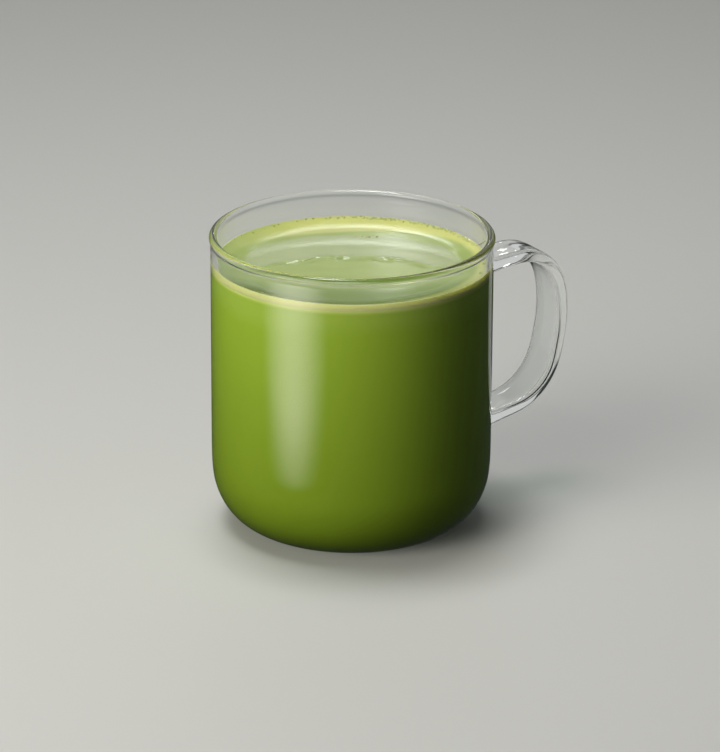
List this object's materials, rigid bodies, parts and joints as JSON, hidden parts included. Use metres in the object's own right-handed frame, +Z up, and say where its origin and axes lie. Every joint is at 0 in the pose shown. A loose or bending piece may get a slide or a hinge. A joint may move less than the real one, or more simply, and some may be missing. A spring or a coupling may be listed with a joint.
{
  "type": "glass mug of matcha latte",
  "caption": "Clear glass mug with a flat strap handle, filled with green matcha latte under a thin, paler layer of milk foam; stands on its flat foot.",
  "frame": {"origin": "centre of the mug's flat underside, on the axis of its round body", "axes": "+Z up along the body's axis; +X from the axis towards the handle; the part is a mirror image of itself across the XZ plane"},
  "size_m": [0.1205, 0.0888, 0.0946],
  "materials": {
    "clear_glass": "clear polished borosilicate glass, fire-polished lip",
    "green_drink": "opaque leaf-green tea and milk, wet against the glass",
    "pale_foam": "wet fine-bubbled milk foam, pale yellow-green"
  },
  "bodies": {
    "root": {"glass_mug": "clear_glass", "matcha_latte": "green_drink", "milk_foam": "pale_foam"}
  },
  "joints": []
}
